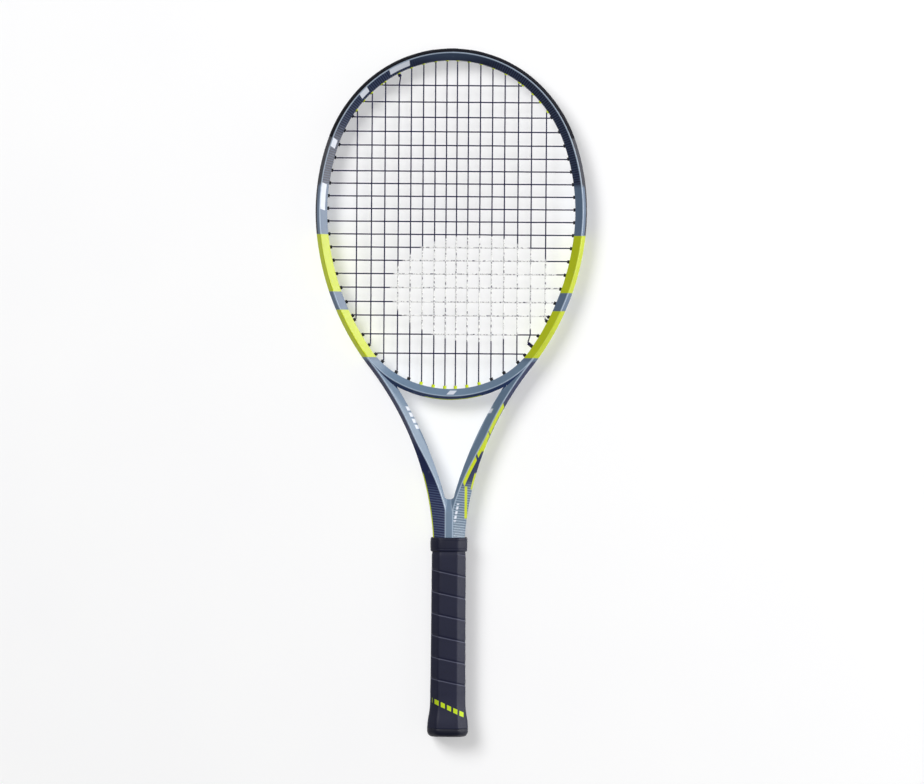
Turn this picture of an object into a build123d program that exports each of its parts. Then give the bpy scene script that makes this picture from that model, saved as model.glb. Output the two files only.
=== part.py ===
"""Tennis racket in millimetres, lying flat: +Y runs from the butt to the tip, +Z is up.

The origin is under the middle of the racket, on the surface that the butt cap stands on.
Heights along the racket are measured from the butt end, as a stringer measures them.
"""

import os
from collections import namedtuple
from math import atan2, copysign, cos, degrees, hypot, radians, sin

from build123d import *

os.makedirs("parts", exist_ok=True)

# ---------------------------------------------------------------- driving dimensions
length = 685.8

# outside of the frame seen from the front, from the tip down the right side: (radius, turn)
head_arcs = [(126.5, 43.8), (140.0, 26.7), (217.0, 24.9), (260.0, 32.4)]
shaft_arcs = [(320.0, 15.1), (297.0, 22.7)]
shoulder_turn = 6.5  # how far the hoop follows the first shaft arc before the shaft begins
bridge_heading = 125.0  # heading of the rim where the bridge leaves it
bridge_corner = (83.3, 25.0)  # inside of the bridge beside the rim; one arc spans the middle

# section of the frame tube
tube_width = 11.5
bridge_width = 10.8
beam = 22.0
ridge_share = 0.65  # how far the ridge stands from the inner face, as a share of the width
inner_flat = 9.0
outer_flat = 13.0
ridge_fillet = 1.4
groove_width = 8.4
tube_wall = 1.5

# throat
crotch_height = 236.0
crotch_width = 10.0
crotch_rise = 4.0  # height of the straight bit at the bottom of the throat
leg_gap = 0.1
leg_bottom = 10.0
neck_slope = 1.5  # the legs narrow this steeply just above the pallet
leg_edge = 0.4  # the facets of the legs are this much narrower than the hoop's
cavity_inset = 6.9
cavity_width = 6.0
cavity_beam = 9.0

# handle
pallet_half_x = 14.9
pallet_cover = 2.3  # wall of the pallet over the legs
flat_share = 0.54  # width of an octagon's flats as a share of its sides
pallet_bottom = 3.6
pallet_rise = 6.0  # pallet top above the place where the legs become parallel
cap_half_x = 20.4
cap_rim = 8.0
cap_skirt = 34.0
cap_skirt_wall = 0.7
cap_end_wall = 3.0
cap_end_taper = 3.0
cap_end_round = 0.6  # a shallower cut above the taper
cap_land = 2.5  # the flat that the cap stands on
flare_shares = [(0.3, 0.87), (0.6, 0.45)]  # (share of the skirt's height, of its flare)
grip_thickness = 1.8
grip_end_thickness = 1.3
tape_thickness = 0.35
tape_width = 5.5
tape_inset = 0.5  # from the end of the grip to the tape
grip_rise = 3.0  # from the top of the pallet to the end of the grip
grip_skive = 0.4  # half the length over which the end of the grip is thinned
collar_wall = 1.5
collar_length = 14.0
collar_overlap = 6.2  # how much of the grip the collar covers
collar_edge = 0.5
hatch_width = 15.0
hatch_depth = 11.0
hatch_plate = 2.0
hatch_leg = 6.0
hatch_leg_wall = 1.2
hatch_leg_width = 6.0

# strings and what they pass through
string_diameter = 1.3
main_gaps = [10.4, 11.3, 11.9, 12.1, 12.3, 13.5, 13.2, 14.7]
first_cross_drop = 37.7  # from the tip to the first cross string
cross_gaps = [
    16.6, 15.2, 14.3, 13.7, 13.0, 12.7, 12.5, 12.6, 12.5, 12.6,
    12.8, 12.9, 13.1, 13.3, 13.7, 14.1, 13.6, 18.7, 19.1,
]  # fmt: skip
weave_rise = 0.15  # how much higher than touching the strings pass over each other
weave_radius = 3.5
mouth_radius = 1.6
barrel_wall = 0.75
barrel_room = 0.3  # between a string and the bore of its barrel
barrel_reach = 1.8  # how far a grommet barrel stands into the head
strip_width = 7.8
strip_thickness = 0.8
seat_sink = 0.55  # how deep the strings outside the frame lie below its rim
hole_lean = 0.15  # how far a hole leans from square to the rim towards its string
mouth_room = 0.5  # from the end of a barrel to the place where its string bends
head_crosses = 2  # cross strings on each side that pass through the head strip
side_strip_heading = 56.5  # the head strip ends and the side strips begin here
bumper_heading = 70.0
bumper_wall = 1.1
bumper_floor = 1.0
bumper_channel = 6.4
throat_mains = 3  # on each side, in the strip below the bridge
corner_mains = 1  # on each side, at the ends of the bridge, in a grommet of its own
top_knot_main = 4  # the main, from the middle, that the left knot at the top is tied to
low_knot_main = 6  # and the right knot at the bottom
weave_margin = 1.4  # strings that end nearer than this to each other do not cross
strip_turn = 2.0  # how far the side strips run on past the shoulder
throat_strip_heading = 160.0
corner_sink = 0.9  # from the strings outside the frame to the ends of the corner barrels
end_gap = 0.1
knot_radius = 1.7
knot_length = 3.0

# staples
staple_width = 8.0
staple_wire = 0.7
staple_leg = 3.3
staple_drop = 4.0  # from the top of the skirt to the staples in its sides
tack_rise = 5.0  # from the start of the grip to its tack

# clearances
fit_gap = 0.1
slide_gap = 0.3

# ---------------------------------------------------------------- derived places
pallet_half_z = beam / 2 + pallet_cover
cap_half_z = pallet_half_z + cap_half_x - pallet_half_x
mid_height = cap_half_z
leg_half_width = pallet_half_x - pallet_cover  # the two legs inside the handle
inner_facet = ridge_share * tube_width - leg_edge
outer_facet = (1 - ridge_share) * tube_width - leg_edge / 4
barrel_bore = string_diameter / 2 + barrel_room
barrel_radius = barrel_bore + barrel_wall
seat_inset = string_diameter + seat_sink
groove_depth = seat_inset + bumper_floor + strip_thickness + fit_gap
strip_sink = bumper_floor + strip_thickness - fit_gap  # the barrels end inside their strip
front = Plane(origin=(0, -length / 2, mid_height))  # plan of the racket, y is the height
barrel_clear = barrel_radius + fit_gap


def station(height, aside=0.0, up=0.0):
    """Plane square to the handle at a height above the butt end, facing the tip."""
    return Plane(
        origin=(aside, height - length / 2, mid_height + up),
        x_dir=(-1, 0, 0),
        z_dir=(0, 1, 0),
    )


# ---------------------------------------------------------------- the rim as tangent arcs
Arc = namedtuple("Arc", "x y radius begin end")


def follow(x, y, heading, arcs):
    """Tangent arcs from a point, with the heading clockwise from +X; a minus radius turns left."""
    chain = []
    for radius, turn in arcs:
        side = copysign(1, radius)
        arc = Arc(
            x - radius * sin(radians(heading)),
            y - radius * cos(radians(heading)),
            radius,
            heading,
            heading + side * turn,
        )
        chain.append(arc)
        x, y, heading = *on_arc(arc, arc.end), arc.end
    return chain


def on_arc(arc, heading, inset=0.0):
    """Point of an arc where it has a heading, moved to the inside of the racket by an inset."""
    reach = arc.radius - inset
    return arc.x + reach * sin(radians(heading)), arc.y + reach * cos(radians(heading))


def trace(arcs, inset=0.0):
    """Draws the right half's arcs in the current BuildLine."""
    for arc in arcs:
        ThreePointArc(*(on_arc(arc, h, inset) for h in (arc.begin, (arc.begin + arc.end) / 2, arc.end)))


def first_beyond(arcs, heading):
    """The arc that has a heading, and the heading."""
    return next(a for a in arcs if a.end > heading), heading


def beyond(arcs, heading):
    """The arcs from the place where they have a heading."""
    first = arcs.index(first_beyond(arcs, heading)[0])
    return [arcs[first]._replace(begin=heading)] + arcs[first + 1 :]


def cut_short(arcs, heading):
    """The arcs up to the place where they have a heading."""
    kept = [a for a in arcs if a.begin < heading]
    return kept[:-1] + [kept[-1]._replace(end=min(heading, kept[-1].end))]


rim = follow(0, length, 0, head_arcs + [(-r, t) for r, t in shaft_arcs])
head_rim = rim[: len(head_arcs)]
shaft_rim = rim[len(head_arcs) :]
leg_top = on_arc(shaft_rim[-1], shaft_rim[-1].end)[1]
leg_side = on_arc(shaft_rim[-1], shaft_rim[-1].end)[0]
shoulder = shaft_rim[0].begin - shoulder_turn
hoop_rim = head_rim + [shaft_rim[0]._replace(end=shoulder)]
strip_shoulder = shaft_rim[0]._replace(begin=shoulder, end=shoulder - strip_turn)

# the oval inside the head: the hoop's inner edge, closed by the bridge
oval = [a._replace(radius=a.radius - tube_width) for a in cut_short(head_rim, bridge_heading)]
bridge_rim = follow(*on_arc(oval[-1], bridge_heading), bridge_heading, [bridge_corner])
middle_heading = bridge_rim[0].end
middle_radius = on_arc(bridge_rim[0], middle_heading)[0] / sin(radians(middle_heading))
bridge_rim += follow(
    *on_arc(bridge_rim[0], middle_heading), middle_heading, [(middle_radius, 180 - middle_heading)]
)
oval += bridge_rim

pallet_top = leg_top + pallet_rise
grip_top = pallet_top + grip_rise
collar_bottom = grip_top - collar_overlap


def rim_at(x, y):
    """How far a point of the right half lies inside the rim, and the rim's place beside it."""
    for number, arc in enumerate(rim):
        side = copysign(1, arc.radius)
        turned = degrees(atan2((x - arc.x) * side, (y - arc.y) * side))
        if min(arc.begin, arc.end) <= turned <= max(arc.begin, arc.end):
            return arc.radius - side * hypot(x - arc.x, y - arc.y), (number, turned)
    return 0.0, None


def oval_at(x=None, y=None, lower=False):
    """Point and heading of the oval at a distance from the middle line, or at a height."""
    for arc in oval:
        if x is not None:
            share = (x - arc.x) / arc.radius
            if abs(share) > 1:
                continue
            level = (1 - share**2) ** 0.5
            turned = atan2(share, -level if lower else level)
        else:
            share = (y - arc.y) / arc.radius
            if abs(share) > 1:
                continue
            turned = atan2((1 - share**2) ** 0.5, share)
        if radians(arc.begin) - 1e-9 <= turned <= radians(arc.end) + 1e-9:
            return *on_arc(arc, degrees(turned)), degrees(turned)
    raise ValueError("no rim there")


# ---------------------------------------------------------------- where the strings go
Hole = namedtuple("Hole", "x y along across depth kind")


def drill(x, y, heading, run, kind):
    """A string hole nearly square to the rim, leaning a little towards its string's line."""
    along = sin(radians(heading)) + hole_lean * run[0]
    across = cos(radians(heading)) + hole_lean * run[1]
    size = hypot(along, across)
    along, across = along / size, across / size
    depth = 0.0
    if kind in ("throat", "corner"):
        depth = bridge_width - seat_inset
    else:
        while rim_at(x + along * depth, y + across * depth)[0] > seat_inset:
            depth += 0.05
    return Hole(x, y, along, across, depth, kind)


main_places = []
place = -main_gaps[0] / 2
for gap in main_gaps:
    place += gap
    main_places.append(place)
cross_places = [length - first_cross_drop]
for gap in cross_gaps:
    cross_places.append(cross_places[-1] - gap)

mouth_back = barrel_reach + mouth_room


def main_hole(x, lower, kind):
    """The hole whose string bends at a distance from the middle line."""
    run = (0, -1) if lower else (0, 1)
    hole = drill(*oval_at(x=x, lower=lower), run, kind)
    for _ in range(4):
        hole = drill(*oval_at(x=x + mouth_back * hole.along, lower=lower), run, kind)
    return hole


def cross_hole(y):
    """The hole whose string bends at a height."""
    hole = drill(*oval_at(y=y), (1, 0), "side")
    for _ in range(4):
        hole = drill(*oval_at(y=y + mouth_back * hole.across), (1, 0), "side")
    return hole


bridge_kinds = ["throat"] * throat_mains + ["corner"] * corner_mains
low_kinds = bridge_kinds + ["side"] * (len(main_places) - len(bridge_kinds))
top_holes = [main_hole(x, False, "head") for x in main_places]
low_holes = [main_hole(x, True, kind) for x, kind in zip(main_places, low_kinds)]
side_holes = [cross_hole(y) for y in cross_places]
side_holes[:head_crosses] = [h._replace(kind="head") for h in side_holes[:head_crosses]]


def hole_plane(hole, side, back):
    """Plane at the mouth of a hole, moved back into the head, with its normal outwards."""
    x = side * (hole.x - back * hole.along)
    return Plane(
        origin=(x, hole.y - back * hole.across - length / 2, mid_height),
        z_dir=(side * hole.along, hole.across, 0),
        x_dir=(0, 0, 1),
    )


def holes_both_sides(kinds):
    """Every hole of some kinds, on the right and on the left."""
    holes = [h for h in top_holes + low_holes + side_holes if h.kind in kinds]
    return [(h, side) for h in holes for side in (1, -1)]


def drill_all(kinds, radius, sides=(1, -1)):
    """Subtracts round holes through the frame from the current part."""
    for hole, side in holes_both_sides(kinds):
        if side in sides:
            with Locations(hole_plane(hole, side, barrel_reach + 1)):
                Cylinder(
                    radius,
                    hole.depth + barrel_reach + 6,
                    align=(Align.CENTER, Align.CENTER, Align.MIN),
                    mode=Mode.SUBTRACT,
                )


# ---------------------------------------------------------------- frame tube
def facet(share):
    """Half thickness of the tube at a share of its width from the inner face."""
    if share < ridge_share:
        return inner_flat / 2 + (beam - inner_flat) / 2 * share / ridge_share
    return beam / 2 - (beam - outer_flat) / 2 * (share - ridge_share) / (1 - ridge_share)


def tube_section(width):
    """Section of the tube with x outwards: two facets each side of a ridge, hollow, grooved."""
    inner, ridge, outer = -width / 2, (ridge_share - 0.5) * width, width / 2
    thin = inner + tube_wall
    deep = outer - groove_depth - tube_wall
    low = inner_flat / 2 - tube_wall / 2
    high = low + (deep - thin) * (beam - inner_flat) / 2 / (ridge_share * width)
    with BuildSketch() as section:
        with BuildLine():
            Polyline(
                (inner, -inner_flat / 2),
                (inner, inner_flat / 2),
                (ridge, beam / 2),
                (outer, outer_flat / 2),
                (outer, -outer_flat / 2),
                (ridge, -beam / 2),
                close=True,
            )
        make_face()
        ridges = section.vertices().group_by(Axis.Y)
        fillet(ridges[0] + ridges[-1], ridge_fillet)
        with BuildLine():
            Polyline((thin, -low), (thin, low), (deep, high), (deep, -high), close=True)
        make_face(mode=Mode.SUBTRACT)
        with Locations((outer, 0)):
            Rectangle(
                groove_depth, groove_width, align=(Align.MAX, Align.CENTER), mode=Mode.SUBTRACT
            )
    return section.sketch


def bumper_outline(gap):
    """Half of the bumper's underside: (distance out from the middle of the tube, thickness)."""
    half = tube_width / 2
    run = (1 - ridge_share) * tube_width
    drop = (beam - outer_flat) / 2
    slant = hypot(run, drop)
    out = (drop / slant, run / slant)
    start = ridge_share + 0.06
    top = ((start - 0.5) * tube_width, facet(start))
    under = (top[0] - out[0] * bumper_wall - gap, top[1] - out[1] * bumper_wall)
    flat = half - bumper_wall - gap
    corner = (flat, under[1] - (flat - under[0]) * drop / run)
    return top, under, corner


def bumper_section():
    """Section of the bumper: flush with the facets outside, with a channel for the strings."""
    top, under, corner = bumper_outline(0)
    half = tube_width / 2
    floor = half - seat_inset
    wall = groove_width / 2 - fit_gap
    upper = [
        (floor - bumper_floor, wall),
        (corner[0], wall),
        corner,
        under,
        top,
        (half, outer_flat / 2),
        (half, bumper_channel / 2),
        (floor, bumper_channel / 2),
    ]
    with BuildSketch() as section:
        with BuildLine():
            Polyline(*upper, *[(x, -z) for x, z in reversed(upper)], close=True)
        make_face()
    return section.sketch


def bumper_seat():
    """What is cut from the tube's outer facets so that the bumper lies flush."""
    top, under, corner = bumper_outline(fit_gap)
    upper = [
        (corner[0], groove_width / 4),
        corner,
        under,
        (top[0], top[1] + fit_gap),
        (top[0], beam),
        (tube_width, beam),
        (tube_width, groove_width / 4),
    ]
    with BuildSketch() as section:
        for side in (1, -1):
            with BuildLine():
                Polyline(*[(x, side * z) for x, z in upper], close=True)
            make_face()
    return section.sketch


def across(arc=rim[0], heading=0.0, inset=tube_width / 2):
    """Plane across the frame with x outwards, where an arc of the rim has a heading."""
    x, y = on_arc(arc, heading, inset)
    return Plane(
        origin=(x, y - length / 2, mid_height),
        x_dir=(sin(radians(heading)), cos(radians(heading)), 0),
        z_dir=(cos(radians(heading)), -sin(radians(heading)), 0),
    )


with BuildPart() as bumper_cut:
    with BuildLine(front):
        trace(cut_short(hoop_rim, bumper_heading), tube_width / 2)
    with BuildSketch(across()):
        add(bumper_seat())
    sweep()
    mirror(about=Plane.YZ)

with BuildPart() as head_hoop:
    with BuildLine(front):
        trace(hoop_rim, tube_width / 2)
    with BuildSketch(across()):
        add(tube_section(tube_width))
    sweep()
    mirror(about=Plane.YZ)
    add(bumper_cut.part, mode=Mode.SUBTRACT)
    drill_all(("head", "side"), barrel_clear)
head_hoop.part.label = "head_hoop"


def band_plan(arcs, near, far):
    """A band along arcs of the rim, between two insets."""
    with BuildSketch() as band:
        with BuildLine():
            trace(arcs, near)
            trace(arcs, far)
            for arc, heading in ((arcs[0], arcs[0].begin), (arcs[-1], arcs[-1].end)):
                Line(on_arc(arc, heading, near), on_arc(arc, heading, far))
        make_face()
    return band.sketch


throat_start = on_arc(shaft_rim[0], shoulder, tube_width)
throat_way = (cos(radians(shoulder)), -sin(radians(shoulder)))
throat_end = (crotch_width / 2, crotch_height + crotch_rise)


def shaft_plan():
    """Right shaft seen from the front, from the shoulder to the bottom of its leg."""
    neck = pallet_top + slide_gap
    outside = leg_side + 1
    with BuildSketch() as plan:
        with BuildLine():
            Line(throat_start, on_arc(shaft_rim[0], shoulder))
            trace([shaft_rim[0]._replace(begin=shoulder)] + shaft_rim[1:])
            Polyline(
                (leg_side, leg_top),
                (leg_side, leg_bottom),
                (leg_gap / 2, leg_bottom),
                (leg_gap / 2, crotch_height),
                (throat_end[0], crotch_height),
                throat_end,
            )
            TangentArc(throat_start, throat_end, tangent=throat_way)
        make_face()
        with BuildLine():
            Polyline(
                (leg_half_width, 0),
                (leg_half_width, neck),
                (outside, neck + neck_slope * (outside - leg_half_width)),
                (outside, 0),
                close=True,
            )
        make_face(mode=Mode.SUBTRACT)
    return plan.sketch


def facet_wedges(facet_width, flat, side):
    """What leaves one sloping facet above and one below; side says where the air is along x."""
    rise = (beam - flat) / 2
    steep = rise / facet_width
    with BuildSketch() as section:
        for up in (1, -1):
            with BuildLine():
                Polyline(
                    (side, up * (flat / 2 - steep)),
                    (-side * (facet_width + 1), up * (beam / 2 + steep)),
                    (side, up * (beam / 2 + steep)),
                    close=True,
                )
            make_face()
    return section.sketch


with BuildPart() as right_shaft:
    with BuildSketch(front):
        add(shaft_plan())
    extrude(amount=beam / 2, both=True)
    with BuildLine(front):
        trace([shaft_rim[0]._replace(begin=shoulder)] + shaft_rim[1:])
    with BuildSketch(across(shaft_rim[0], shoulder, 0)):
        add(facet_wedges(outer_facet, outer_flat, 1))
    sweep(mode=Mode.SUBTRACT)
    with BuildLine(front):
        Line((leg_half_width, pallet_top + 2 * neck_slope), (leg_half_width, leg_bottom - 1))
    with BuildSketch(station(pallet_top + 2 * neck_slope, leg_half_width)):
        add(facet_wedges(outer_facet, outer_flat, -1))
    sweep(mode=Mode.SUBTRACT)
    with BuildLine(front):
        TangentArc(throat_start, throat_end, tangent=throat_way)
    with BuildSketch(across(shaft_rim[0], shoulder, tube_width)):
        add(facet_wedges(inner_facet, inner_flat, -1))
    sweep(mode=Mode.SUBTRACT)
    with BuildLine(front):
        trace([shaft_rim[0]._replace(begin=shoulder)] + shaft_rim[1:], cavity_inset)
        Line((leg_side - cavity_inset, leg_top), (leg_side - cavity_inset, leg_bottom))
    with BuildSketch(across(shaft_rim[0], shoulder, cavity_inset)):
        Rectangle(cavity_width, cavity_beam)
    sweep(mode=Mode.SUBTRACT)
    with BuildLine(front):
        trace([strip_shoulder], groove_depth / 2)
    with BuildSketch(across(strip_shoulder, shoulder, groove_depth / 2)):
        Rectangle(groove_depth + 2 * fit_gap, groove_width)
    sweep(mode=Mode.SUBTRACT)
    drill_all(("side",), barrel_clear, sides=(1,))
right_shaft.part.label = "right_shaft"

left_shaft = right_shaft.part.mirror(Plane.YZ)
left_shaft.label = "left_shaft"

with BuildPart() as throat_bridge:
    with BuildLine(front):
        trace(bridge_rim, -bridge_width / 2)
    with BuildSketch(across(bridge_rim[0], bridge_heading, -bridge_width / 2)):
        add(tube_section(bridge_width))
    sweep()
    mirror(about=Plane.YZ)
    with BuildSketch(front):
        add(band_plan(hoop_rim[-2:], tube_width, -beam))
        add(shaft_plan())
        mirror(about=Plane.YZ)
    extrude(amount=beam, both=True, mode=Mode.SUBTRACT)
    drill_all(("side", "throat", "corner"), barrel_clear)
throat_bridge.part.label = "throat_bridge"

# ---------------------------------------------------------------- bumper and grommets
with BuildPart() as bumper_guard:
    with BuildLine(front):
        trace(cut_short(hoop_rim, bumper_heading - end_gap), tube_width / 2)
    with BuildSketch(across()):
        add(bumper_section())
    sweep()
    mirror(about=Plane.YZ)
    drill_all(("head",), barrel_bore + fit_gap)
    drill_all(("side",), barrel_radius + fit_gap)
bumper_guard.part.label = "bumper_guard"


def strip_section(thickness, width=tube_width):
    """Section of a grommet strip, lying on the groove's floor."""
    with BuildSketch() as section:
        with Locations((width / 2 - groove_depth + fit_gap / 2, 0)):
            Rectangle(thickness, strip_width, align=(Align.MIN, Align.CENTER))
    return section.sketch


def barrels(kinds, sides=(1, -1), sink=strip_sink):
    """The barrels of a grommet strip, from the strip into the head."""
    for hole, side in holes_both_sides(kinds):
        if side in sides:
            with Locations(hole_plane(hole, side, barrel_reach)):
                Cylinder(
                    barrel_radius,
                    hole.depth + barrel_reach - sink,
                    align=(Align.CENTER, Align.CENTER, Align.MIN),
                )


with BuildPart() as head_grommets:
    with BuildLine(front):
        trace(cut_short(hoop_rim, side_strip_heading - end_gap), tube_width / 2)
    with BuildSketch(across()):
        add(strip_section(strip_thickness))
    sweep()
    mirror(about=Plane.YZ)
    barrels(("head",))
    drill_all(("head",), barrel_bore)
head_grommets.part.label = "head_grommets"

with BuildPart() as right_side_grommets:
    with BuildLine(front):
        trace(beyond(hoop_rim, side_strip_heading + end_gap), tube_width / 2)
        trace([strip_shoulder._replace(end=strip_shoulder.end + end_gap)], tube_width / 2)
    with BuildSketch(across(*first_beyond(hoop_rim, side_strip_heading + end_gap))):
        add(strip_section(strip_thickness))
    sweep()
    barrels(("side",), sides=(1,))
    drill_all(("side",), barrel_bore, sides=(1,))
right_side_grommets.part.label = "right_side_grommets"

left_side_grommets = right_side_grommets.part.mirror(Plane.YZ)
left_side_grommets.label = "left_side_grommets"

with BuildPart() as throat_grommets:
    with BuildLine(front):
        trace([bridge_rim[-1]._replace(begin=throat_strip_heading)], -bridge_width / 2)
    with BuildSketch(across(bridge_rim[-1], throat_strip_heading, -bridge_width / 2)):
        add(strip_section(strip_thickness, bridge_width))
    sweep()
    mirror(about=Plane.YZ)
    barrels(("throat",))
    drill_all(("throat",), barrel_bore)
throat_grommets.part.label = "throat_grommets"

with BuildPart() as corner_grommets:
    barrels(("corner",), sink=corner_sink)
    for hole, side in holes_both_sides(("corner",)):
        with Locations(hole_plane(hole, side, corner_sink - hole.depth)):
            Cylinder(barrel_radius + strip_thickness, strip_thickness)
    drill_all(("corner",), barrel_bore)
corner_grommets.part.label = "corner_grommets"

# ---------------------------------------------------------------- strings
pass_height = string_diameter / 2 + weave_rise
turn_inset = seat_inset - string_diameter / 2 - fit_gap / 2
knot_mouth = barrel_reach + knot_length + fit_gap + mouth_room


def string_along(points, radii):
    """One length of string through points in the plan, with its bends rounded."""
    with BuildPart() as run:
        with BuildLine(front) as route:
            FilletPolyline(*points, radius=radii)
        with BuildSketch(Plane(origin=route.line @ 0, z_dir=route.line % 0)):
            Circle(string_diameter / 2)
        sweep()
    return run.part


def hole_points(hole, side, back):
    """The end of a string in the groove outside the frame, and the place where it bends."""
    out = hole.depth - string_diameter / 2
    return [
        (side * (hole.x + out * hole.along), hole.y + out * hole.across, 0),
        (side * (hole.x - back * hole.along), hole.y - back * hole.across, 0),
    ]


def woven_run(first, last, crossings):
    """A string from hole to hole, over and under the strings that it crosses."""
    points = first + crossings + last[::-1]
    bends = [mouth_radius] + [weave_radius] * len(crossings) + [mouth_radius]
    return string_along(points, bends)


def bend_back(hole, side):
    """How far from the rim a string bends: further where a knot is tied round it."""
    return knot_mouth if (hole, side) in knotted else mouth_back


all_mains = [(side, n) for side in (-1, 1) for n in range(len(main_places))]
all_mains.sort(key=lambda main: main[0] * main_places[main[1]])
knotted = [(top_holes[top_knot_main], -1), (low_holes[low_knot_main], 1)]


def they_cross(n, c):
    """Whether a main string meets a cross string inside the head."""
    ends = [hole_points(hole, 1, mouth_back)[1] for hole in (low_holes[n], top_holes[n], side_holes[c])]
    return (
        ends[0][1] + weave_margin < cross_places[c] < ends[1][1] - weave_margin
        and main_places[n] < ends[2][0] - weave_margin
    )


def main_run(number):
    """A main string, numbered from the left."""
    side, n = all_mains[number]
    x = side * main_places[n]
    low = hole_points(low_holes[n], side, bend_back(low_holes[n], side))
    top = hole_points(top_holes[n], side, bend_back(top_holes[n], side))
    crossings = [
        (x, y, pass_height * (-1) ** (number + c))
        for c, y in reversed(list(enumerate(cross_places)))
        if they_cross(n, c)
    ]
    return woven_run(low, top, crossings)


def cross_run(number):
    """A cross string, numbered from the tip."""
    hole = side_holes[number]
    ends = [hole_points(hole, side, mouth_back) for side in (-1, 1)]
    y = cross_places[number]
    crossings = [
        (side * main_places[n], y, -pass_height * (-1) ** (m + number))
        for m, (side, n) in enumerate(all_mains)
        if they_cross(n, number)
    ]
    return woven_run(*ends, crossings)


def exit_point(hole):
    """Where a hole comes out of the frame."""
    return hole.x + hole.depth * hole.along, hole.y + hole.depth * hole.across


def turn_between(arcs, inset, side=1):
    """A string's turn in the groove outside the frame, along some arcs."""
    with BuildPart() as turn:
        with BuildLine(front):
            trace(arcs, inset)
        with BuildSketch(across(arcs[0], arcs[0].begin, inset)):
            Circle(string_diameter / 2)
        sweep()
    return turn.part if side > 0 else turn.part.mirror(Plane.YZ)


def rim_turn(one, other, side):
    """A turn outside the hoop between two holes."""
    places = sorted(rim_at(*exit_point(hole))[1] for hole in (one, other))
    (first, begin), (last, end) = places
    arcs = rim[first : last + 1]
    arcs[0] = arcs[0]._replace(begin=begin)
    arcs[-1] = arcs[-1]._replace(end=end)
    return turn_between(arcs, turn_inset, side)


def bridge_turn(one, other, side):
    """A turn below the bridge between two holes."""
    arc = bridge_rim[-1]
    begin, end = sorted(degrees(atan2(x - arc.x, y - arc.y)) for x, y in map(exit_point, (one, other)))
    return turn_between([arc._replace(begin=begin, end=end)], turn_inset - bridge_width, side)


def collection(label, pieces):
    """Separate solids that share one node."""
    return Compound(label=label, children=pieces)


main_string = collection("main_string", [main_run(n) for n in range(len(all_mains))])
cross_string = collection("cross_string", [cross_run(n) for n in range(len(cross_places))])

middle_begin = rim_at(*exit_point(top_holes[0]))[1][1]
turns = [turn_between([rim[0]._replace(begin=-middle_begin, end=middle_begin)], turn_inset)]
for side in (1, -1):
    for n in range(1, len(main_places) - 1, 2):
        turns.append(rim_turn(top_holes[n], top_holes[n + 1], side))
    for n in range(0, len(main_places), 2):
        turn = bridge_turn if low_kinds[n + 1] != "side" else rim_turn
        turns.append(turn(low_holes[n], low_holes[n + 1], side))
    for n in range(0 if side < 0 else 1, len(cross_places) - 1, 2):
        turns.append(rim_turn(side_holes[n], side_holes[n + 1], side))
turns.append(rim_turn(top_holes[-1], top_holes[top_knot_main], -1))
turns.append(rim_turn(top_holes[-1], side_holes[0], 1))
turns.append(rim_turn(low_holes[low_knot_main], side_holes[-1], 1))
string_turns = collection("string_turns", turns)

with BuildPart() as string_knots:
    for hole, side in knotted:
        knot_plane = hole_plane(hole, side, barrel_reach + fit_gap + knot_length)
        with Locations(knot_plane):
            Cylinder(
                knot_radius, knot_length, align=(Align.CENTER, Align.CENTER, Align.MIN)
            )
            Cylinder(string_diameter / 2 + fit_gap / 2, beam, mode=Mode.SUBTRACT)
string_knots.part.label = "string_knots"

# ---------------------------------------------------------------- handle


def octagon(half_x, half_z):
    """Eight-sided section of the handle."""
    flat_x, flat_z = flat_share * half_x, flat_share * half_z
    corners = [(half_x, flat_z), (flat_x, half_z)]
    corners += [(-x, z) for x, z in reversed(corners)]
    corners += [(-x, -z) for x, z in corners]
    with BuildSketch() as section:
        with BuildLine():
            Polyline(*corners, close=True)
        make_face()
    return section.sketch


def grown(half_x, half_z, growth):
    """An eight-sided section that is larger all round."""
    return octagon(half_x + growth, half_z + growth)


def staples(places, gap=0.0, mode=Mode.ADD):
    """Crown and two legs of some staples, each driven in along its plane's normal."""
    wire = staple_wire + 2 * gap
    for place in places:
        with Locations(place):
            Box(staple_width + 2 * gap, wire, wire, mode=mode)
            with GridLocations(staple_width - staple_wire, 1, 2, 1):
                Box(
                    wire,
                    wire,
                    staple_leg + gap,
                    align=(Align.CENTER, Align.CENTER, Align.MIN),
                    mode=mode,
                )


def handle_side(height, out, side, back=False):
    """Plane on a flat of the handle, with its normal inwards: right, left or back."""
    if back:
        return Plane(
            origin=(0, height - length / 2, mid_height - out), x_dir=(1, 0, 0), z_dir=(0, 0, 1)
        )
    return Plane(
        origin=(side * out, height - length / 2, mid_height), x_dir=(0, 0, 1), z_dir=(-side, 0, 0)
    )


pallet_sides = (pallet_half_x, pallet_half_z)
cap_sides = (cap_half_x, cap_half_z)
grip_start = cap_rim + fit_gap
grip_over_cap = cap_half_x - grip_thickness - pallet_half_x - fit_gap
skirt_top_growth = cap_skirt_wall + fit_gap
cap_end_stages = [
    (0, cap_end_taper),
    (cap_end_taper - cap_end_round, cap_end_round),
    (cap_rim - cap_land, 0),
    (cap_rim, 0),
]
skirt_stages = [(grip_start, grip_over_cap)]
for rise, share in flare_shares:
    skirt_stages.append((cap_rim + rise * (cap_skirt - cap_rim), share * grip_over_cap))
skirt_stages.append((cap_skirt, skirt_top_growth))
grip_stages = [
    (collar_bottom - 3 * grip_skive, grip_thickness + fit_gap),
    (collar_bottom - grip_skive, grip_end_thickness + fit_gap),
    (grip_top, grip_end_thickness + fit_gap),
]
tape_growth = grip_end_thickness + 1.5 * fit_gap
collar_growth = tape_growth + tape_thickness + slide_gap

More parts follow.
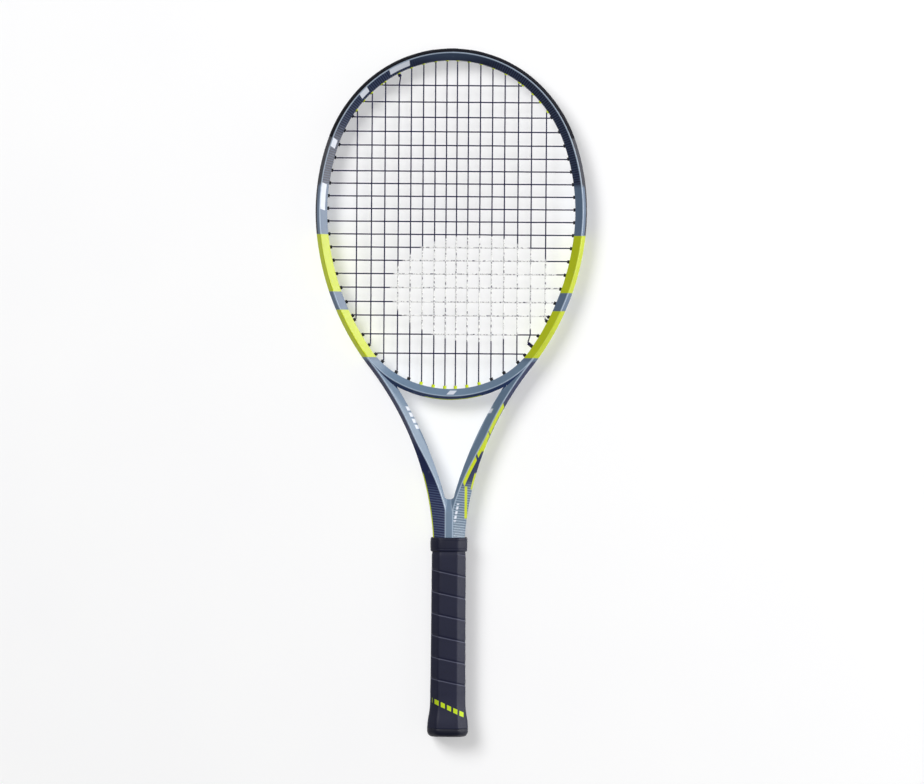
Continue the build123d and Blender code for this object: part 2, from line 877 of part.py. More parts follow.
# staples through the skirt's sides under the grip, and one at the start of the grip strip
staple_out = pallet_half_x + skirt_top_growth + staple_wire / 2 + 4 * fit_gap
tack_out = pallet_half_z + grip_over_cap + staple_wire / 2 + fit_gap
cap_staple_places = [handle_side(cap_skirt - staple_drop, staple_out, side) for side in (1, -1)]
tack_places = [handle_side(grip_start + tack_rise, tack_out, 1, back=True)]

with BuildPart() as handle_pallet:
    with BuildSketch(station(pallet_bottom)):
        add(octagon(*pallet_sides))
    extrude(amount=pallet_top - pallet_bottom)
    with BuildSketch(station(leg_bottom - fit_gap)):
        Rectangle(2 * (leg_half_width + fit_gap), outer_flat + 2 * fit_gap)
        Rectangle(2 * (leg_half_width - outer_facet + fit_gap), beam + 2 * fit_gap)
        make_hull()
    extrude(amount=pallet_top, mode=Mode.SUBTRACT)
    with BuildSketch(station(0)):
        Rectangle(hatch_width + 2 * slide_gap, hatch_depth + 2 * slide_gap)
    extrude(amount=leg_bottom, mode=Mode.SUBTRACT)
    staples(cap_staple_places, fit_gap / 2, Mode.SUBTRACT)
handle_pallet.part.label = "handle_pallet"

with BuildPart() as butt_cap:
    for height, shrink in cap_end_stages:
        with BuildSketch(station(height)):
            add(grown(*cap_sides, -shrink))
    loft(ruled=True)
    for height, growth in [(cap_rim, grip_over_cap)] + skirt_stages[1:]:
        with BuildSketch(station(height)):
            add(grown(*pallet_sides, growth))
    loft(ruled=True)
    with BuildSketch(station(cap_end_wall)):
        add(grown(*pallet_sides, fit_gap))
    extrude(amount=cap_skirt, mode=Mode.SUBTRACT)
    with BuildSketch(station(0)):
        Rectangle(hatch_width + 2 * slide_gap, hatch_depth + 2 * slide_gap)
    extrude(amount=cap_end_wall, mode=Mode.SUBTRACT)
    staples(cap_staple_places + tack_places, fit_gap / 2, Mode.SUBTRACT)
butt_cap.part.label = "butt_cap"

with BuildPart() as trap_door:
    with BuildSketch(station(0)):
        Rectangle(hatch_width, hatch_depth)
    extrude(amount=hatch_plate)
    with BuildSketch(station(hatch_plate)):
        with GridLocations(hatch_width - hatch_leg_wall, 1, 2, 1):
            Rectangle(hatch_leg_wall, hatch_leg_width)
    extrude(amount=hatch_leg)
trap_door.part.label = "trap_door"

with BuildPart() as butt_cap_staples:
    staples(cap_staple_places)
butt_cap_staples.part.label = "butt_cap_staples"

with BuildPart() as grip_tack:
    staples(tack_places)
grip_tack.part.label = "grip_tack"

with BuildPart() as grip_wrap:
    for height, growth in skirt_stages:
        with BuildSketch(station(height)):
            add(grown(*pallet_sides, growth + grip_thickness + fit_gap))
    for height, growth in grip_stages:
        with BuildSketch(station(height)):
            add(grown(*pallet_sides, growth))
    loft(ruled=True)
    for height, growth in [(0, grip_over_cap)] + skirt_stages:
        with BuildSketch(station(height)):
            add(grown(*pallet_sides, growth + fit_gap))
    loft(ruled=True, mode=Mode.SUBTRACT)
    with BuildSketch(station(cap_skirt / 2)):
        add(grown(*pallet_sides, fit_gap))
    extrude(amount=grip_top, mode=Mode.SUBTRACT)
    staples(cap_staple_places + tack_places, fit_gap, Mode.SUBTRACT)
grip_wrap.part.label = "grip_wrap"

with BuildPart() as finishing_tape:
    with BuildSketch(station(grip_top - tape_width - tape_inset)):
        add(grown(*pallet_sides, tape_growth + tape_thickness))
        add(grown(*pallet_sides, tape_growth), mode=Mode.SUBTRACT)
    extrude(amount=tape_width)
finishing_tape.part.label = "finishing_tape"

with BuildPart() as grip_collar:
    with BuildSketch(station(collar_bottom)):
        add(grown(*pallet_sides, collar_growth + collar_wall))
        add(grown(*pallet_sides, collar_growth), mode=Mode.SUBTRACT)
    extrude(amount=collar_length)
    for face in (faces().sort_by(Axis.Y)[0], faces().sort_by(Axis.Y)[-1]):
        chamfer(face.outer_wire().edges(), collar_edge)
grip_collar.part.label = "grip_collar"

# ---------------------------------------------------------------- files, one for each node
for piece in (
    head_hoop.part, right_shaft.part, left_shaft, throat_bridge.part,
    bumper_guard.part, head_grommets.part, right_side_grommets.part, left_side_grommets,
    throat_grommets.part, corner_grommets.part,
    main_string, cross_string, string_turns, string_knots.part,
    handle_pallet.part, butt_cap.part, trap_door.part, butt_cap_staples.part,
    grip_wrap.part, grip_tack.part, finishing_tape.part, grip_collar.part,
):  # fmt: skip
    export_step(piece, f"parts/{piece.label}.step")
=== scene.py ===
"""Looks of a strung tennis racket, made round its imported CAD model.

Shapes are worked out in millimetres on the racket's front view: x to the right, and the
height above the butt end. They are turned into metres in the model's own frame at the end.
"""

from collections import namedtuple
from math import ceil, copysign, cos, degrees, hypot, pi, radians, sin

import bpy
import numpy as np
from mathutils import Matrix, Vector


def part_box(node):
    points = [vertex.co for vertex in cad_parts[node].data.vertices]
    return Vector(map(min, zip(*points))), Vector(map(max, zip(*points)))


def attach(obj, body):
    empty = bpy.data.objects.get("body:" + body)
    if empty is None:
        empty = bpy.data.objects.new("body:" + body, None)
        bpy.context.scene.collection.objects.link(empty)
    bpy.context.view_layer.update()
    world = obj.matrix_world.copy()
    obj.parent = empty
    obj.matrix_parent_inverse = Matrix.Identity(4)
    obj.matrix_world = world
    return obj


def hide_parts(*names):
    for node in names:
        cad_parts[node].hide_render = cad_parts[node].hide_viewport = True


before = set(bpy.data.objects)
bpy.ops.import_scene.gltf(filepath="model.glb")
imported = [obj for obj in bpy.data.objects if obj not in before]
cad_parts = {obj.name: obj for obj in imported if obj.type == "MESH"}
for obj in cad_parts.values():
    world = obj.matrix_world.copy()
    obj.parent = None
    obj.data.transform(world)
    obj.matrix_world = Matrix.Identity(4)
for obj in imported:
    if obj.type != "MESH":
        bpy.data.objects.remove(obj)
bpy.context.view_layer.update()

butt_y, axis_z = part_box("butt_cap")[0][1], sum(c[2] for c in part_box("butt_cap")) / 2
length = (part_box("head_hoop")[1][1] - butt_y) * 1000

# ------------------------------------------------------------------ sizes, in millimetres
head_arcs = [(126.5, 43.8), (140.0, 26.7), (217.0, 24.9), (260.0, 32.4)]
shaft_arcs = [(-320.0, 15.1), (-297.0, 22.7)]
bridge_heading = 125.0
bridge_corner = (83.3, 25.0)
groove_ends, groove_bottom = 119.3, 356.0
tube_width, bridge_width, beam = 11.5, 10.8, 22.0
ridge_share, inner_flat, outer_flat = 0.65, 9.0, 13.0
groove_width, groove_depth = 8.4, 3.75
throat_round = 4.0
crotch_height, crotch_half, crotch_rise = 236.0, 5.0, 4.0
leg_half, leg_bottom, neck_height = 12.6, 10.0, 187.6
bumper_heading = 70.0


# ------------------------------------------------------------------ the rim's arcs
Arc = namedtuple("Arc", "x y radius begin end")


def on_arc(arc, heading, inset=0.0):
    """Point of an arc where it has a heading, moved inwards."""
    reach = arc.radius - inset
    return arc.x + reach * sin(radians(heading)), arc.y + reach * cos(radians(heading))


def follow(x, y, heading, arcs):
    """Tangent arcs from a point; a minus radius turns left."""
    chain = []
    for radius, turn in arcs:
        centre = x - radius * sin(radians(heading)), y - radius * cos(radians(heading))
        arc = Arc(*centre, radius, heading, heading + copysign(turn, radius))
        chain.append(arc)
        x, y, heading = *on_arc(arc, arc.end), arc.end
    return chain


rim = follow(0, length, 0, head_arcs + shaft_arcs)
head_rim, shaft_rim = rim[:4], rim[4:]
corner_arc = follow(*on_arc(head_rim[-1], bridge_heading, tube_width), bridge_heading, [bridge_corner])[0]
middle_start = on_arc(corner_arc, corner_arc.end)
middle_radius = middle_start[0] / sin(radians(corner_arc.end))
middle_arc = follow(*middle_start, corner_arc.end, [(middle_radius, 180 - corner_arc.end)])[0]
leg_side, leg_top = on_arc(rim[-1], rim[-1].end)


def trace(arcs, inset=0.0, step=2.0):
    """Points along arcs, about a step apart, with the heading at each."""
    points = []
    for number, arc in enumerate(arcs):
        count = max(2, ceil(abs((arc.radius - inset) * radians(arc.end - arc.begin)) / step))
        for k in range(0 if number == 0 else 1, count + 1):
            heading = arc.begin + (arc.end - arc.begin) * k / count
            points.append((*on_arc(arc, heading, inset), heading))
    return points


def part_of(arcs, low, high):
    """The piece of an arc chain with headings between two values."""
    kept = []
    for arc in arcs:
        begin, end = sorted((arc.begin, arc.end))
        begin, end = max(begin, low), min(end, high)
        if end - begin > 1e-6:
            ends = (begin, end) if arc.radius > 0 else (end, begin)
            kept.append(arc._replace(begin=ends[0], end=ends[1]))
    return kept


# ------------------------------------------------------------------ outlines of the frame
def rim_depth(x, y):
    """How far a point lies inside the rim's lower arcs, and the arc and heading beside it."""
    best = None
    for arc in rim[3:]:
        side = copysign(1, arc.radius)
        turned = degrees(np.arctan2((x - arc.x) * side, (y - arc.y) * side))
        low, high = sorted((arc.begin, arc.end))
        if low - 0.01 <= turned <= high + 0.01:
            best = arc.radius - side * hypot(x - arc.x, y - arc.y), arc, turned
    return best


def throat_corner():
    """Where the bridge's lower edge and a shaft's inner edge are joined by a small round."""
    reach = corner_arc.radius + bridge_width + throat_round
    low, high = corner_arc.begin, corner_arc.end
    for _ in range(50):
        heading = (low + high) / 2
        x, y = corner_arc.x + reach * sin(radians(heading)), corner_arc.y + reach * cos(radians(heading))
        found = rim_depth(x, y)
        if found and found[0] > tube_width + throat_round:
            high = heading
        else:
            low = heading
    return heading, (x, y), rim_depth(x, y)[1:]


corner_heading, round_centre, (corner_rim_arc, corner_rim_heading) = throat_corner()


def resample(points, count):
    """Evenly spaced points along a line of points."""
    points = np.array([p[:2] for p in points], float)
    run = np.concatenate([[0], np.cumsum(np.hypot(*np.diff(points, axis=0).T))])
    places = np.linspace(0, run[-1], count)
    return np.stack([np.interp(places, run, points[:, k]) for k in (0, 1)], axis=1)


oval_line = trace(part_of(head_rim, 0, bridge_heading), tube_width) + trace([corner_arc, middle_arc])[1:]
rim_line = trace(rim)
bridge_low = trace([corner_arc._replace(begin=corner_heading), middle_arc], -bridge_width, 1.0)[::-1]
round_start, round_end = bridge_low[-1], on_arc(corner_rim_arc, corner_rim_heading, tube_width)


def small_round(count):
    """Points of the round in the throat's upper corner, from the bridge to the shaft."""
    ends = [np.arctan2(p[1] - round_centre[1], p[0] - round_centre[0]) for p in (round_start, round_end)]
    if ends[0] - ends[1] > pi:
        ends[1] += 2 * pi
    x, y = round_centre
    return [(x + throat_round * cos(a), y + throat_round * sin(a)) for a in np.linspace(*ends, count)]


def leg_edge():
    """Inner edge of a shaft, from the throat's corner to the straight bit above the crotch."""
    start, end = np.array(round_end), np.array((crotch_half, crotch_height + crotch_rise))
    way = np.array((cos(radians(corner_rim_heading)), -sin(radians(corner_rim_heading))))
    normal = np.array((way[1], -way[0]))
    chord = end - start
    radius = chord @ chord / (2 * (chord @ normal))
    centre = start + radius * normal
    begin = np.arctan2(*(start - centre)[::-1])
    finish = np.arctan2(*(end - centre)[::-1])
    angles = np.linspace(begin, finish, 90)
    return [tuple(centre + abs(radius) * np.array((cos(a), sin(a)))) for a in angles]


leg_line = leg_edge()
crotch_turn = 3.6
crotch_line = [
    (crotch_half - crotch_turn + crotch_turn * cos(a), crotch_height + crotch_turn + crotch_turn * sin(a))
    for a in np.linspace(0, -pi / 2, 9)
] + [(0.0, crotch_height)]

panel_half, panel_meets, panel_slope, facet_grows = 3.6, 224.0, 0.35, 300.0


def outer_width(x, y):
    """Width of the outer facet, which grows down the shafts until it meets the middle panel."""
    if y > facet_grows:
        return (1 - ridge_share) * tube_width
    grown = ((facet_grows - max(y, panel_meets)) / (facet_grows - panel_meets)) ** 1.9
    return (1 - ridge_share) * tube_width * (1 - grown) + (x - panel_half) * grown


# each point of an outline: x, height, half of the flat's height beside it, width of its facet
rim_edge = [(x, y, outer_flat / 2, outer_width(x, y), h) for x, y, h in rim_line]
rim_edge += [
    (x, y, outer_flat / 2, outer_width(x, y), 90)
    for x, y in ((leg_side, leg_top - 4), (leg_half, neck_height), (leg_half, leg_bottom))
]
oval_edge = [
    (x, y, inner_flat / 2, ridge_share * (tube_width if h < bridge_heading else bridge_width), h)
    for x, y, h in oval_line
]


def clearance(points, outline):
    """Distance from each point to an outline, and the outline's own values there."""
    outline = np.array(outline, float)
    a, b = outline[:-1, :2], outline[1:, :2]
    step = b - a
    size = np.maximum((step**2).sum(1), 1e-12)
    best, values = [], []
    for chunk in np.array_split(points, max(1, len(points) // 2000)):
        along = ((chunk[:, None] - a) * step).sum(2) / size
        along = np.clip(along, 0, 1)
        gap = np.hypot(*np.moveaxis(chunk[:, None] - (a + along[..., None] * step), 2, 0))
        nearest = gap.argmin(1)
        rows = np.arange(len(chunk))
        t = along[rows, nearest][:, None]
        best.append(gap[rows, nearest])
        values.append(outline[nearest, 2:] * (1 - t) + outline[nearest + 1, 2:] * t)
    return np.concatenate(best), np.concatenate(values)


def smooth(x, low, high):
    """Rises smoothly from 0 to 1 between two values."""
    t = np.clip((x - low) / (high - low), 0, 1)
    return t * t * (3 - 2 * t)


ridge_soft, seat_drop = 0.28, 1.3
shaft_slope = (beam - inner_flat) / 2 / (ridge_share * tube_width - 0.4)
bridge_slope = (beam - outer_flat) / 2 / ((1 - ridge_share) * bridge_width)


def frame_height(points):
    """Height of the frame's front, depth from the rim, and distances past the two ridges."""
    out, out_values = clearance(points, rim_edge)
    heights, past = [], []
    for gap, values in ((out, out_values), clearance(points, oval_edge)):
        flat, width = values[:, 0], values[:, 1]
        heights.append(flat + (beam / 2 - flat) * gap / width)
        past.append(gap - width)
    ramp = beam / 2 - panel_slope * np.maximum(points[:, 1] - panel_meets, 0)
    fall = [beam / 2 - shaft_slope * past[0], beam / 2 - bridge_slope * past[1], ramp]
    heights.append(np.max(fall, 0))
    stack = np.array(heights)
    low = stack.min(0)
    height = low - ridge_soft * np.log(np.exp(-(stack - low) / ridge_soft).sum(0))
    under_bumper = (out_values[:, 2] < bumper_heading) & (points[:, 1] > length / 2)
    height -= seat_drop * under_bumper * (1 - smooth(out, 3.0, 3.4))
    return np.maximum(height, groove_width / 2 + 0.2), out, np.clip(past, -30, 30)


# ------------------------------------------------------------------ meshes
class Sheet:
    """A sheet of quads on the front view whose grids share the points along their edges."""

    def __init__(self):
        self.points, self.known, self.quads = [], {}, []

    def at(self, x, y):
        key = round(x, 3), round(y, 3)
        if key not in self.known:
            self.known[key] = len(self.points)
            self.points.append((float(x), float(y)))
        return self.known[key]

    def grid(self, rows):
        """Adds a grid and its mirror image."""
        for side in (1, -1):
            numbers = [[self.at(side * x, y) for x, y in row] for row in rows]
            for one, two in zip(numbers, numbers[1:]):
                for k in range(len(one) - 1):
                    quad = [one[k], one[k + 1], two[k + 1], two[k]]
                    quad = list(dict.fromkeys(quad))
                    if len(quad) > 2:
                        self.quads.append(quad[:: -side])

    def borders(self):
        """Edges that only one quad has, as the quad runs along them."""
        seen = {}
        for quad in self.quads:
            for one, two in zip(quad, quad[1:] + quad[:1]):
                seen[one, two] = True
        return [edge for edge in seen if edge[::-1] not in seen]


def between(one, two, count):
    """Rows of points from one line to another."""
    shares = np.linspace(0, 1, count)
    return [[(a + s * (b - a)) for s in shares] for a, b in zip(np.array(one), np.array(two))]


def coons(top, bottom, left, right):
    """A grid that fills four lines: top and bottom run the same way, left and right as well."""
    top, bottom, left, right = (np.array(line, float) for line in (top, bottom, left, right))
    rows = []
    for i, u in enumerate(np.linspace(0, 1, len(top))):
        row = []
        for j, v in enumerate(np.linspace(0, 1, len(left))):
            point = (1 - v) * top[i] + v * bottom[i] + (1 - u) * left[j] + u * right[j]
            point -= (1 - u) * (1 - v) * top[0] + u * (1 - v) * top[-1]
            point -= (1 - u) * v * bottom[0] + u * v * bottom[-1]
            row.append(tuple(point))
        rows.append(row)
    return rows


across_count, bridge_count, round_count = 33, 31, 8


def frame_sheet():
    """Front view of the whole frame: hoop, joints, bridge and shafts down to the leg ends."""
    sheet = Sheet()
    bumper_part = part_of(head_rim, 0, bumper_heading - 0.15)
    outer = [p[:2] for p in trace(bumper_part, seat_drop)]
    inner = resample(trace(bumper_part, tube_width), len(outer))
    rest = part_of(head_rim, bumper_heading, bridge_heading)
    headings = [p[2] for p in trace(rest)]
    outer = list(map(tuple, outer)) + [p[:2] for p in trace(rest)]
    last = []
    for arc in rest:
        last += [on_arc(arc, h, tube_width) for h in headings if arc.begin - 1e-6 <= h < arc.end - 1e-6]
    last.append(on_arc(rest[-1], bridge_heading, tube_width))
    inner = list(map(tuple, inner)) + last
    sheet.grid(between(outer, inner, across_count))

    # the bridge, from the middle to the line where the joint begins
    low = resample(bridge_low, 40)
    high = resample([p[:2] for p in trace([corner_arc, middle_arc], 0, 1.0)][::-1], 40)
    sheet.grid(between(high, low, bridge_count))

    # the joint
    fork = np.array(on_arc(head_rim[-1], bridge_heading, tube_width))
    across = [tuple(fork + s * (np.array(low[-1]) - fork)) for s in np.linspace(0, 1, bridge_count)]
    inside = across + small_round(round_count)[1:]
    lower_rim = part_of(head_rim, bridge_heading, 180) + [
        a._replace(end=corner_rim_heading) if a is corner_rim_arc else a
        for a in shaft_rim[: shaft_rim.index(corner_rim_arc) + 1]
    ]
    outside = resample(trace(lower_rim, 0, 0.5), len(inside))
    left = between([outside[0]], [inside[0]], across_count)[0]
    right = between([outside[-1]], [inside[-1]], across_count)[0]
    sheet.grid(coons(outside, inside, left, right))

    # the shaft beside the throat, round the crotch, and the leg inside the handle
    rest = [corner_rim_arc._replace(begin=corner_rim_heading)]
    rest += shaft_rim[shaft_rim.index(corner_rim_arc) + 1 :]
    points = np.array(trace(rest, 0, 0.5))[:, :2]
    cuts = [np.abs(points[:, 1] - h).argmin() for h in (crotch_height + 4, crotch_height - 8)]
    pieces = np.split(points, cuts)
    pieces = [np.vstack([p, nxt[:1]]) for p, nxt in zip(pieces, pieces[1:])] + [pieces[-1]]
    counts = (56, 12, 28)
    inner_lines = [leg_line, [leg_line[-1]] + crotch_line, [(0, crotch_height), (0, leg_top)]]
    for one, two, count in zip(pieces, inner_lines, counts):
        sheet.grid(between(resample(one, count), resample(two, count), across_count))
    neck = [(leg_side, leg_top), (leg_half, leg_top - 6), (leg_half, leg_bottom)]
    core = [(0, leg_top), (0, leg_top - 6), (0, leg_bottom)]
    sheet.grid(between(neck, core, across_count))
    return sheet


def to_frame(x, y, z):
    """A place in millimetres on the front view, in the model's metres."""
    return x / 1000, y / 1000 + butt_y, z / 1000 + axis_z


def add_piece(name, points, faces, finish, nodes, body="racket", crease=38, values=None):
    """Makes a mesh piece that stands for some CAD nodes and rides on a body."""
    mesh = bpy.data.meshes.new(name)
    mesh.from_pydata([to_frame(*p) for p in points], [], faces)
    mesh.validate()
    mesh.polygons.foreach_set("use_smooth", [True] * len(mesh.polygons))
    mesh.set_sharp_from_angle(angle=radians(crease))
    for label, numbers in (values or {}).items():
        layer = mesh.attributes.new(label, "FLOAT", "POINT")
        layer.data.foreach_set("value", np.array(numbers, np.float32))
    mesh.materials.append(finish)
    obj = bpy.data.objects.new(name, mesh)
    bpy.context.collection.objects.link(obj)
    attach(obj, body)
    if nodes:
        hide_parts(*nodes)
    return obj


def make_frame(finish):
    """The carbon moulding: front, back, the groove outside the hoop and the inner walls."""
    sheet = frame_sheet()
    plan = np.array(sheet.points)
    folded = np.column_stack([np.abs(plan[:, 0]), plan[:, 1]])
    height, depth, past = frame_height(folded)
    count = len(plan)
    points = [(x, y, z) for (x, y), z in zip(plan, height)]
    points += [(x, y, -z) for (x, y), z in zip(plan, height)]
    faces = [list(q) for q in sheet.quads] + [[k + count for k in q[::-1]] for q in sheet.quads]
    nearest, values = clearance(folded, [(x, y, n, h, 0) for n, (x, y, h) in enumerate(rim_line)])
    run = values[:, 0]
    lap = np.concatenate([[0], np.cumsum(np.hypot(*np.diff(np.array(rim_line)[:, :2], axis=0).T))])
    lap = np.interp(run, np.arange(len(lap)), lap)
    rows = {}

    def wall_row(k):
        """The points of the frame's side below one point of its edge."""
        if k in rows:
            return rows[k]
        x, y = folded[k]
        row = [k]
        on_rim = nearest[k] < seat_drop + 0.3 and y > leg_top + 20
        sunk = seat_drop if values[k, 1] < bumper_heading and y > length / 2 else 0.0
        if on_rim:
            heading = radians(values[k, 1])
            in_x, in_y = -sin(heading), -cos(heading)
            groove = groove_depth - sunk if values[k, 1] < groove_ends or y > groove_bottom else 0.05
            side = copysign(1, plan[k, 0])
            for inset, z in ((0, 1), (groove, 1), (groove, -1), (0, -1)):
                row.append(len(points))
                points.append(
                    (side * (x + in_x * inset), y + in_y * inset, z * groove_width / 2)
                )
        else:
            for z in (0.5, -0.5):
                row.append(len(points))
                points.append((plan[k, 0], y, z * height[k]))
        row.append(k + count)
        rows[k] = row
        return row

    for one, two in sheet.borders():
        a, b = wall_row(one), wall_row(two)
        if len(a) != len(b):
            short, long = (a, b) if len(a) < len(b) else (b, a)
            short = [short[0], short[1], short[1], short[2], short[2], short[3]]
            a, b = (short, long) if len(rows[one]) < len(rows[two]) else (long, short)
        for k in range(len(a) - 1):
            face = list(dict.fromkeys([a[k + 1], b[k + 1], b[k], a[k]]))
            if len(face) > 2:
                faces.append(face)
    stored = {}
    for label, numbers in (("lap", lap), ("depth", depth), ("rim_ridge", past[0]), ("bed_ridge", past[1])):
        whole = np.zeros(len(points))
        whole[:count] = whole[count : 2 * count] = numbers
        for k, row in rows.items():
            whole[row[1:-1]] = numbers[k]
        stored[label] = whole
    return add_piece(
        "carbon_frame", points, faces, finish,
        ["head_hoop", "right_shaft", "left_shaft", "throat_bridge"], crease=34, values=stored,
    )


def make_bumper(finish):
    """The guard round the tip: a skin over both outer facets with a channel for the strings."""
    run, drop = (1 - ridge_share) * tube_width, (beam - outer_flat) / 2
    out = np.array((drop, run)) / hypot(drop, run)
    top = np.array(((ridge_share + 0.06 - 0.5) * tube_width, beam / 2 - drop * 0.06 / (1 - ridge_share)))
    edge = np.array((tube_width / 2, outer_flat / 2))
    proud, wall = 0.22, 1.0
    half = [
        top - out * wall, top + out * 0.02, top + (edge - top) * 0.06 + out * proud,
        top + (edge - top) * 0.5 + out * proud, top + (edge - top) * 0.93 + out * proud,
        edge + np.array((0.12, -0.35)), edge + np.array((0.16, -1.2)), np.array((5.9, 3.7)),
        np.array((5.6, 3.3)), np.array((4.2, 3.15)), np.array((3.9, 2.9)),
    ]
    inside = [np.array((2.95, 4.0)), np.array((4.5, 4.1)), np.array((4.55, edge[1] - 0.6))]
    loop = half + [np.array((x, -z)) for x, z in half[::-1]]
    loop += [np.array((x, -z)) for x, z in inside[::-1]] + inside
    points, faces, laps = [], [], []
    arcs = part_of(head_rim, 0, bumper_heading - 0.2)
    right = trace(arcs, tube_width / 2, 2.0)
    stations = [(-x, y, -h) for x, y, h in right[:0:-1]] + right
    lap = 0.0
    for n, (x, y, heading) in enumerate(stations):
        if n:
            lap += hypot(x - stations[n - 1][0], y - stations[n - 1][1])
        for outwards, z in loop:
            points.append((x + outwards * sin(radians(heading)), y + outwards * cos(radians(heading)), z))
            laps.append(lap)
    size = len(loop)
    for n in range(len(stations) - 1):
        for k in range(size):
            j = (k + 1) % size
            faces.append([n * size + k, n * size + j, (n + 1) * size + j, (n + 1) * size + k])
    faces.append(list(range(size))[::-1])
    faces.append([(len(stations) - 1) * size + k for k in range(size)])
    return add_piece(
        "bumper_guard_skin", points, faces, finish, ["bumper_guard"],
        crease=50, values={"lap": laps},
    )


def octagon_ring(height, half_x, half_z, share=0.54, crisp=26.0, count=176, swell=None):
    """One ring of a rounded eight-sided shape; with a share of 1 it is a rounded rectangle."""
    ring = []
    for k in range(count):
        angle = 2 * pi * k / count
        c, s = abs(cos(angle)) / half_x, abs(sin(angle)) / half_z
        reach = (c**crisp + s**crisp + ((c + s) / (1 + share)) ** crisp) ** (-1 / crisp)
        grow = swell(height, angle) if swell else 0.0
        ring.append(((reach + grow) * cos(angle), height, (reach + grow) * sin(angle)))
    return ring


def lathe(rings, closed=True):
    """Points and faces of rings joined one after another, closed into a hollow ring or capped."""
    count = len(rings[0])
    points = [p for ring in rings for p in ring]
    faces = []
    last = len(rings) if closed else len(rings) - 1
    for n in range(last):
        m = (n + 1) % len(rings)
        for k in range(count):
            j = (k + 1) % count
            faces.append([n * count + k, m * count + k, m * count + j, n * count + j])
    if not closed:
        faces.append(list(range(count)))
        faces.append([(len(rings) - 1) * count + k for k in range(count)][::-1])
    return points, faces


pallet_x, pallet_z = 14.9, 13.3
wrap_pitch, wrap_start = 21.6, 76.3
grip_profile = [
    (8.15, 5.5), (15.8, 5.03), (23.6, 3.52), (29.0, 2.95), (34.0, 2.7), (60.0, 2.3),
    (182.5, 1.9), (183.5, 1.4), (190.2, 1.4),
]


def wrap_swell(height, angle):
    """How the wound strip stands in or out: a crowned strip with a sunk seam at its edge."""
    rise = height - (wrap_start + wrap_pitch * (degrees(angle) - 90) / 360)
    above = rise % wrap_pitch
    below = wrap_pitch - above
    crown = 0.16 * sin(pi * above / wrap_pitch) ** 0.5
    seam = -0.5 * np.exp(-((min(above, below) / 0.75) ** 2))
    lip = 0.22 * np.exp(-below / 2.2)
    fade = smooth(np.array(height), 38.0, 47.0) * (1 - smooth(np.array(height), 181.5, 182.5))
    return float((crown + seam + lip) * fade)


def make_grip(finish):
    """The wound grip, a sleeve with the strip's spiral seams pressed into it."""
    heights = np.concatenate([np.arange(8.15, 190.2, 0.45), [190.2]])
    growth = np.interp(heights, *zip(*grip_profile))
    growth = np.convolve(np.pad(growth, 8, mode="edge"), np.ones(17) / 17, "valid")
    rings = [
        octagon_ring(h, pallet_x + g, pallet_z + g, crisp=34, swell=wrap_swell)
        for h, g in zip(heights, growth)
    ]
    rings[0] = octagon_ring(heights[0], pallet_x + growth[0] - 0.25, pallet_z + growth[0] - 0.25, crisp=34)
    rings += [octagon_ring(h, pallet_x + 0.3, pallet_z + 0.3, crisp=34) for h in (190.2, 34.2)]
    rings += [octagon_ring(h, pallet_x + g, pallet_z + g, crisp=34) for h, g in ((34.0, 1.0), (8.15, 3.8))]
    points, faces = lathe(rings)
    return add_piece("grip_winding", points, faces, finish, ["grip_wrap"], crease=60)


def make_collar(finish):
    """The rubber collar: a soft swelling band with two fine lines round it."""
    low, high = (1000 * (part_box("grip_collar")[k][1] - butt_y) for k in (0, 1))
    outer, inner = 3.35, 2.15
    rings = []
    for t in np.linspace(0, 1, 57):
        edge = 1 - abs(2 * t - 1) ** 9
        bulge = 0.2 * sin(pi * t)
        lines = sum(np.exp(-(((t - c) / 0.02) ** 2)) for c in (0.2, 0.8))
        g = inner + 0.35 + (outer - inner - 0.35) * max(edge, 0) ** 0.5 + bulge - 0.22 * lines
        rings.append(octagon_ring(low + t * (high - low), pallet_x + g, pallet_z + g, crisp=18))
    for t in (1.0, 0.0):
        rings.append(octagon_ring(low + t * (high - low), pallet_x + inner, pallet_z + inner, crisp=18))
    points, faces = lathe(rings)
    return add_piece(
        "collar_band", points, faces, finish, ["grip_collar"], body="grip_collar", crease=50
    )


def make_butt_cap(finish):
    """The cap with its rounded end, a sunk ring round the hatch, and the skirt under the grip."""
    rows = [
        (3.0, 7.85, 5.85, 1.0, 30), (0.3, 7.85, 5.85, 1.0, 30), (0.0, 8.2, 6.2, 1.0, 24),
        (0.0, 10.6, 9.0, 0.8, 14), (0.35, 10.9, 9.3, 0.75, 14), (0.35, 12.1, 10.5, 0.7, 14),
        (0.0, 12.4, 10.8, 0.7, 14), (0.0, 15.9, 14.3, 0.6, 14), (0.12, 16.7, 15.1, 0.57, 14),
        (0.5, 17.6, 16.0, 0.54, 14), (1.1, 18.5, 16.9, 0.54, 14), (2.0, 19.3, 17.7, 0.54, 15),
        (3.2, 19.95, 18.35, 0.54, 16), (4.6, 20.3, 18.7, 0.54, 18), (6.0, 20.4, 18.8, 0.54, 20),
        (7.7, 20.4, 18.8, 0.54, 20), (8.05, 20.15, 18.55, 0.54, 20), (8.05, 18.4, 16.8, 0.54, 20),
        (15.8, 18.0, 16.4, 0.54, 20), (34.0, 15.7, 14.1, 0.54, 20), (34.0, 15.05, 13.45, 0.54, 20),
        (3.0, 15.05, 13.45, 0.54, 20),
    ]
    rings = [octagon_ring(h, x, z, share, crisp) for h, x, z, share, crisp in rows]
    points, faces = lathe(rings)
    return add_piece("butt_cap_shell", points, faces, finish, ["butt_cap"], crease=40)


# ------------------------------------------------------------------ finishes
def paint(code, strength=1.0):
    """A colour from its usual six-digit code, as linear light."""
    levels = [int(code[k : k + 2], 16) / 255 for k in (0, 2, 4)]
    return tuple(
        strength * (v / 12.92 if v <= 0.04045 else ((v + 0.055) / 1.055) ** 2.4) for v in levels
    ) + (1.0,)


